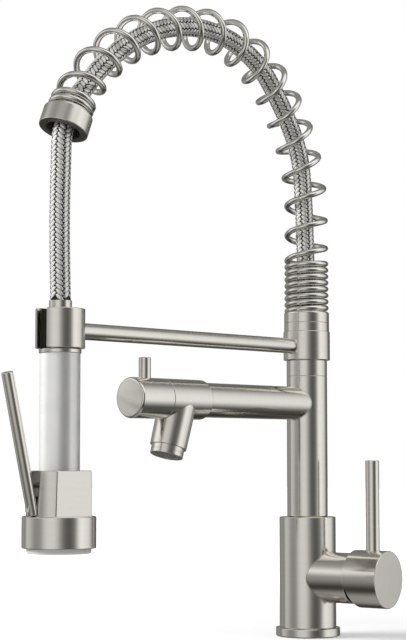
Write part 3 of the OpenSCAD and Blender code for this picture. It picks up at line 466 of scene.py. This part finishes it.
def strandSkin(name, s):
    # a bundle of fine wires in its own light tone along its back, with painted shade where it dips under the
    # next one: dark at its tips, a little darker along its long sides
    skin, tree = freshSkin(name)
    along = tree.add("ShaderNodeUVMap", {"uv_map": "strand"})
    tip = (along.part(0) * 2.0 - 1.0).sum("ABSOLUTE")
    edge = (along.part(1) * 2.0 - 1.0).sum("ABSOLUTE")
    # painted shade: dark at a strand's tips and corners, a little darker along its long sides
    corner = (tip + edge * s["tipSlant"]).step(*s["tip"])
    shade = corner.sum("MAXIMUM", edge.step(*s["edge"]) * s["paintedEdgeShade"])
    wires = (along.part(1) * (2.0 * pi * s["wires"])).sum("COSINE") * -0.5 + 0.5
    speck = objectCoords(tree).noise(s["grain"], 2.0)
    tone = (speck * 0.5 + wires * 0.5).tint(s["deep"], s["light"])
    finishSkin(tree, {
        "Base Color": shade.tint(tone, s["gap"]),
        "Metallic": s["metallic"],
        "Roughness": speck * s["roughSpread"] + s["roughness"],
        "Normal": wires.bumped(s["bump"], s["bumpDepth"]),
    })
    return skin


skins = {name: brushedMetal(name, {**brushedFinish, **changes}) for name, changes in metals.items()}
skins.update({name: plainSkin(name, {**plainFinish, **changes}) for name, changes in plains.items()})
skins["braidSteel"] = strandSkin("braidSteel", strandFinish)
print(len(skins), "finishes mixed")


dressing = {
    "nickelUpright": "base_flange valve_barrel column_tube column_head handle_lever arm_collar "
                     "collar_ring spring_seat dock_ring spring_cap hose_ferrule head_collar head_body "
                     "bell_ring spray_lever knob_lever aerator_ring",
    "nickelAlong": "spout_tube pot_valve_body knob_cap arm_rod",
    "nickelSide": "handle_cap",
    "pearlGrip": "grip_tube",
    "whiteFace": "spray_face",
    "whiteRubber": "spray_nozzles",
    "blackPlastic": "dock_liner",
    "greyPlastic": "aerator_screen neck_clip",
    "blackRubber": "deck_gasket cartridge_seals column_seals aerator_washer bell_seal",
    "ceramicWhite": "fixed_disc moving_disc headwork_seat knob_disc",
    "bearingPlastic": "column_bush collar_bush cartridge_body cartridge_rotor inner_tube",
    "plainBrass": "cartridge_nut cartridge_stem headwork_body knob_spindle column_spigot swivel_nut",
    "plainSteel": "hose_tail stem_pin handle_screw column_circlip knob_screw lever_pin spray_plunger",
}


def dressNodes():
    left = set(nodes)
    for skin, names in dressing.items():
        for name in names.split():
            nodes[name].data.materials.clear()
            nodes[name].data.materials.append(skins[skin])
            left.discard(name)
    print("solids dressed, all but", sorted(left))


dressNodes()


springSettings = {
    # arch in the arm's plane, heights or (y, z)
    "foot": 0.2591,
    "legTop": 0.3380,
    "apex": (-0.1120, 0.46915),
    "end": (-0.2640, 0.3365),
    "rise": 0.52,   # pull of the curve's handles on the way up
    "fall": 0.555,   # and on the way down
    "curveSteps": 200,
    "wire": 0.0047,
    "footRadius": 0.0156,
    "endRadius": 0.0143,
    "close": 0.00512,   # pitch of the close turns
    "first": 0.0207,   # pitch of the turn that opens
    "open": (0.0247, 0.0244),   # pitch of the wide turns, by the seat and by the cap
    "turns": (8, 15, 3),
    "slack": 0.0026,   # how far the turns on the arch's shoulder hang back towards the seat
    "slackTurns": (11.0, 18.6),
    "phase": 225.0,
    "steps": 40,
    "sides": 16,
}


def archLine(s):
    legTop, (ay, az), (ey, ez) = s["legTop"], s["apex"], s["end"]
    up, over = s["rise"] * (az - legTop), s["rise"] * -ay
    down, out = s["fall"] * (az - ez), s["fall"] * (ay - ey)
    rise = interpolate_bezier((0, legTop), (0, legTop + up), (ay + over, az), (ay, az), s["curveSteps"])
    fall = interpolate_bezier((ay, az), (ay - out, az), (ey, ez + down), (ey, ez), s["curveSteps"])
    return [Vector((0, s["foot"])), *rise, *fall[1:]]


def measured(line):
    # the line with how far along it each of its points lies
    runs = [0.0]
    for a, b in zip(line, line[1:]):
        runs.append(runs[-1] + (b - a).length)
    return line, runs


def pointAt(path, run):
    line, runs = path
    low = min(max(bisect_right(runs, run) - 1, 0), len(runs) - 2)
    share = (run - runs[low]) / (runs[low + 1] - runs[low])
    return line[low].lerp(line[low + 1], min(max(share, 0.0), 1.0))


def roundPath(path, run, angle, radius, feel=0.0005):
    # a point beside the path; feel is how far to each side its direction is taken
    run = min(max(run, 0.0), path[1][-1])
    c = pointAt(path, run)
    way = (pointAt(path, run + feel) - pointAt(path, run - feel)).normalized()
    return (radius * cos(angle), c.x + way.y * radius * sin(angle), c.y - way.x * radius * sin(angle))


def springPoints(s):
    close, (wide, narrow) = s["close"], s["open"]
    foot, arch, end = s["turns"]
    first, last = s["slackTurns"]
    pitches = [close] * foot + [s["first"]]
    pitches += [wide + (narrow - wide) * i / (arch - 1) for i in range(arch)] + [close] * end
    path = measured(archLine(s))
    total, made, run = sum(pitches), [], 0.0
    for turn, pitch in enumerate(pitches):
        for k in range(s["steps"]):
            wound = turn + k / s["steps"]
            share = min(max((wound - first) / (last - first), 0.0), 1.0)
            at = run + pitch * k / s["steps"] - s["slack"] * sin(pi * share) ** 2
            radius = s["footRadius"] + (s["endRadius"] - s["footRadius"]) * at / total
            made.append(roundPath(path, at, radians(s["phase"]) + 2.0 * pi * wound, radius))
        run += pitch
    return made


def wirePiece(name, points, thickness, sides, skin):
    curve = bpy.data.curves.new(name, "CURVE")
    curve.dimensions, curve.bevel_depth, curve.use_fill_caps = "3D", thickness / 2.0, True
    curve.bevel_resolution = sides // 4 - 1
    spline = curve.splines.new("POLY")
    spline.points.add(len(points) - 1)
    for spot, place in zip(spline.points, points):
        spot.co = (*place, 1.0)
    draft = bpy.data.objects.new(name + "Curve", curve)
    scene.collection.objects.link(draft)
    mesh = bpy.data.meshes.new_from_object(draft.evaluated_get(bpy.context.evaluated_depsgraph_get()))
    bpy.data.objects.remove(draft)
    mesh.name = name
    mesh.shade_smooth()
    mesh.materials.clear()
    mesh.materials.append(skins[skin])
    return emptyPiece(name, mesh)


spring = wirePiece("archSpring", springPoints(springSettings), springSettings["wire"],
                   springSettings["sides"], "springSteel")
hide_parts("arch_spring")
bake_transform(spring)
print("spring wound,", len(spring.data.polygons), "faces")


hoseSettings = {
    # route through the arch and down to the ferrule, as (y, z) in mm, the same as in the solids but
    # for the small bow of its drop
    "route": [
        (0, 263), (-1, 300), (-3, 345), (-7, 380), (-17, 404), (-35, 430), (-55, 451), (-83, 465),
        (-112, 470), (-140, 468), (-168, 460), (-195, 446), (-219, 427), (-239, 406), (-253.5, 386),
        (-259.5, 368), (-260.6, 345), (-261.3, 315), (-261.0, 285), (-260, 250.7),
    ],
    "routeSteps": 12,
    "core": 0.00665,
    "coreSides": 20,
    "outer": 0.00740,
    "sink": 0.0003,   # how far a strand's lowest edge lies inside the core
    "columns": 8,
    "pitch": 0.00355,
    "overlap": 1.06,
    "fill": 0.94,
    "facesLong": 6,
    "facesWide": 4,
    "crown": 0.22,   # a strand's fall towards its long sides
    "dip": 0.92,   # and towards its tips
}


def hoseLine(s):
    rough = [Vector((y, z)) / 1000.0 for y, z in s["route"]]
    padded = [rough[0], *rough, rough[-1]]
    fine = []
    for before, a, b, after in zip(padded, padded[1:], padded[2:], padded[3:]):
        for k in range(s["routeSteps"]):
            t = k / s["routeSteps"]
            fine.append(0.5 * (2 * a + (b - before) * t + (2 * before - 5 * a + 4 * b - after) * t ** 2
                               + (3 * a - before - 3 * b + after) * t ** 3))
    return fine + [rough[-1]]


def braidPiece(name, path, s):
    total = path[1][-1]
    foot, proud = s["core"] - s["sink"], s["outer"] - s["core"] + s["sink"]
    halfAngle = pi / s["columns"] * s["overlap"]
    mesh = bpy.data.meshes.new(name)
    whole = bmesh.new()
    for column in range(s["columns"]):
        shape = bmesh.new()   # a mesh for each column, because the operator slows down on a large one
        shape.loops.layers.uv.new("strand")
        odd = column % 2
        slant = (-0.5 if odd else 0.5) * s["pitch"] * s["overlap"]
        shift = 0.5 * s["pitch"] * odd
        for k in range(int((total - shift) / s["pitch"])):
            centre = shift + (k + 0.5) * s["pitch"]
            strand = bmesh.ops.create_grid(shape, x_segments=s["facesLong"], y_segments=s["facesWide"],
                                           size=1.0, calc_uvs=True)
            for vert in strand["verts"]:
                t, v = vert.co.x, vert.co.y
                side = 1.0 - s["crown"] * v * v
                tips = 1.0 - s["dip"] * t ** 4 * (0.5 + 0.5 * v * v)
                angle = 2.0 * pi * column / s["columns"] + t * halfAngle
                run = centre + t * slant + v * 0.5 * s["pitch"] * s["fill"]
                vert.co = roundPath(path, run, angle, foot + proud * side * tips)
        shape.to_mesh(mesh)
        shape.free()
        whole.from_mesh(mesh)
    whole.to_mesh(mesh)
    whole.free()
    mesh.shade_smooth()
    mesh.materials.append(skins["braidSteel"])
    return emptyPiece(name, mesh)


hosePath = measured(hoseLine(hoseSettings))
braid = braidPiece("hoseBraid", hosePath, hoseSettings)
core = wirePiece("hoseCore", [(0.0, p.x, p.y) for p in hosePath[0]], 2.0 * hoseSettings["core"],
                 hoseSettings["coreSides"], "coreSteel")
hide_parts("hose_arch", "hose_drop")
for piece in (braid, core):
    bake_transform(piece)
print("hose braided,", len(braid.data.polygons), "faces")


# Pieces worked over from copies of the solids
reworkSettings = {
    "merge": 1e-6,
    "sharp": 24.0,
    "crease": 0.05,   # a bend, in radians, that stays sharp where a small face meets a large one
    "larger": 10.0,
}


def reworked(name, node, body, change):
    s = reworkSettings
    mesh = nodes[node].data.copy()
    mesh.name = name
    shape = bmesh.new()
    shape.from_mesh(mesh)
    bmesh.ops.remove_doubles(shape, verts=shape.verts, dist=s["merge"])
    change(shape, mesh)
    for edge in shape.edges:
        sizes = sorted(face.calc_area() for face in edge.link_faces)
        if len(sizes) == 2 and sizes[1] > s["larger"] * sizes[0] and edge.calc_face_angle(0.0) > s["crease"]:
            edge.smooth = False
    shape.to_mesh(mesh)
    shape.free()
    if "custom_normal" in mesh.attributes:
        mesh.attributes.remove(mesh.attributes["custom_normal"])
    kept = [edge.use_edge_sharp for edge in mesh.edges]
    mesh.shade_smooth()
    mesh.set_sharp_from_angle(angle=radians(s["sharp"]))
    for edge, sharp in zip(mesh.edges, kept):
        edge.use_edge_sharp = edge.use_edge_sharp or sharp
    piece = emptyPiece(name, mesh)
    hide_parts(node)
    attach(piece, body)


headSettings = {
    "reach": 0.260,   # from the column to the head's axis
    "foot": 0.100312,
    "height": 0.0315,
    "radii": (0.0232, 0.0225),   # at the foot and at the top
    "oldFlat": 0.0150,
    "flat": 0.0163,
    "flatEnds": 0.012,   # the flats' corners lie farther from the middle than this
    "join": 0.4,   # faces that bend less than this many degrees become one
    "rim": 0.0006,
    "rimSegments": 3,
    "rimInside": 0.0140,   # edges nearer the axis than this stay sharp
    "groove": 0.0068,   # half its width
    "grooveStart": 0.010,   # how far ahead of the axis it begins
    "grooveDepth": 0.0012,
}


def shapeHead(shape, mesh):
    # wider flats than the solid's, softened edges, and painted shade in the groove behind the lever
    s = headSettings
    low, high = s["radii"]
    top = s["foot"] + s["height"]
    mesh.materials.clear()
    mesh.materials.append(skins["nickelHead"])
    mesh.materials.append(skins["paintedShadeMetal"])
    bmesh.ops.dissolve_limit(shape, angle_limit=radians(s["join"]), verts=shape.verts, edges=shape.edges)

    def fromAxis(place):
        return (place.x ** 2 + (place.y + s["reach"]) ** 2) ** 0.5

    def atCorner(place, flat, close):
        return abs(abs(place.x) - flat) < close and abs(place.y + s["reach"]) > s["flatEnds"]

    for v in shape.verts:
        if atCorner(v.co, s["oldFlat"], 2e-5) and s["foot"] - 1e-5 < v.co.z < top + 1e-5:
            radius = low + (high - low) * (v.co.z - s["foot"]) / s["height"]
            deep = (radius ** 2 - s["flat"] ** 2) ** 0.5
            v.co.y = (deep if v.co.y > -s["reach"] else -deep) - s["reach"]
            v.co.x = s["flat"] if v.co.x > 0 else -s["flat"]
    # faces inside the groove ahead of the axis take the painted shade
    for face in shape.faces:
        c = face.calc_center_median()
        inside = fromAxis(c) < low - s["grooveDepth"] and abs(face.normal.z) < 0.8
        ahead = c.y < -s["reach"] - s["grooveStart"] and c.z > s["foot"] + 1e-4
        if inside and ahead and abs(c.x) < s["groove"]:
            face.material_index = 1
    rim = [e for e in shape.edges
           if all(abs(v.co.z - top) < 1e-5 and fromAxis(v.co) > s["rimInside"] for v in e.verts)
           and len(e.link_faces) == 2 and e.calc_face_angle(0.0) > 0.5]
    corners = [e for e in shape.edges
               if all(atCorner(v.co, s["flat"], 1e-5) for v in e.verts)
               and abs(e.verts[0].co.z - e.verts[1].co.z) > 0.001]
    bmesh.ops.bevel(shape, geom=rim + corners, offset=s["rim"], offset_type="OFFSET", affect="EDGES",
                    segments=s["rimSegments"], profile=0.5, material=-1)
    print("head body:", len(rim), "rim and", len(corners), "corner edges softened")


knobSettings = {
    "face": 0.1937,
    "height": 0.1845,
    "radius": 0.0150,
    "old": 0.0006,
    "fillet": 0.0017,
}


def shapeKnob(shape, mesh):
    # a rounder edge round the knob's face than in the solid
    s = knobSettings
    for v in shape.verts:
        out, up = -v.co.y - (s["face"] - s["old"]), v.co.z - s["height"]
        far = (v.co.x ** 2 + up ** 2) ** 0.5
        side = far - (s["radius"] - s["old"])
        if out > -1e-6 and side > -1e-6:
            across, deep = side / s["old"] * s["fillet"], out / s["old"] * s["fillet"]
            wide = (s["radius"] - s["fillet"] + across) / far
            v.co.x, v.co.z = v.co.x * wide, s["height"] + up * wide
            v.co.y = -(s["face"] - s["fillet"] + deep)


capSettings = {
    "foot": (0.0, -0.253685, 0.385174),
    "way": (0.0, -0.358, -0.934),
    "bore": 0.0162,
    "lip": 0.0030,
    "shorter": 0.0021,
}


def shapeCap(shape, mesh):
    # a shorter skirt than in the solid, and painted shade in the bore and on the lower rim
    s = capSettings
    mesh.materials.append(skins["paintedShadeMetal"])
    foot, way = Vector(s["foot"]), Vector(s["way"]).normalized()
    low = max((v.co - foot).dot(way) for v in shape.verts)
    for v in shape.verts:
        if (v.co - foot).dot(way) > low - s["lip"]:
            v.co -= way * s["shorter"]
    # faces of the bore and of the lower rim take the painted shade
    for face in shape.faces:
        out = face.calc_center_median() - foot
        side = out - way * out.dot(way)
        inside = 1e-5 < side.length < s["bore"] and face.normal.dot(side) < 0.0
        if inside or face.normal.dot(way) > 0.9:
            face.material_index = 1


leverSettings = {
    "footTop": 0.1085,
    "flatness": 0.9995,   # a cheek's normal lies this close to the X axis
}


def shapeLever(shape, mesh):
    # painted shade on the flat cheeks at the lever's foot
    s = leverSettings
    mesh.materials.append(skins["paintedShadeMetal"])
    for face in shape.faces:
        if face.calc_center_median().z < s["footTop"] and abs(face.normal.x) > s["flatness"]:
            face.material_index = 1


nozzleSettings = {"face": 0.07430}


def flushNozzles(shape, mesh):
    for v in shape.verts:
        v.co.z = max(v.co.z, nozzleSettings["face"])


reworked("headBody", "head_body", "spray_head", shapeHead)
reworked("knobShell", "knob_cap", "pot_knob", shapeKnob)
reworked("leverShell", "spray_lever", "spray_lever", shapeLever)
reworked("capShell", "spring_cap", "hose_end", shapeCap)
reworked("nozzleMat", "spray_nozzles", "spray_head", flushNozzles)
print("head, knob, lever, cap and nozzles worked over")


# Thin fillets where tubes meet
filletWire = {"thickness": 0.0009, "sides": 8, "steps": 72}

# way of the branch in degrees from +X, its height and radius, and the upright tube's radius
filletSettings = {
    "housingFillet": {"body": "base", "way": handleTurn, "height": 0.0468, "radius": 0.0198, "trunk": 0.0225},
    "spoutFillet": {"body": "column", "way": -90.0, "height": 0.1845, "radius": 0.01315, "trunk": 0.01625},
    "rodFillet": {"body": "arm", "way": -90.0, "height": 0.2302, "radius": 0.0060, "trunk": 0.0187},
}


def filletPiece(name, s, wire=filletWire):
    way = radians(s["way"])
    ahead, across = Vector((cos(way), sin(way), 0.0)), Vector((-sin(way), cos(way), 0.0))
    ring = []
    for k in range(wire["steps"] + 1):
        a = 2.0 * pi * k / wire["steps"]
        side, up = s["radius"] * cos(a), Vector((0.0, 0.0, s["height"] + s["radius"] * sin(a)))
        ring.append(ahead * (s["trunk"] ** 2 - side ** 2) ** 0.5 + across * side + up)
    piece = wirePiece(name, ring, wire["thickness"], wire["sides"], "nickelUpright")
    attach(piece, s["body"])


for name, settings in filletSettings.items():
    filletPiece(name, settings)
print("fillets laid")


print("done")
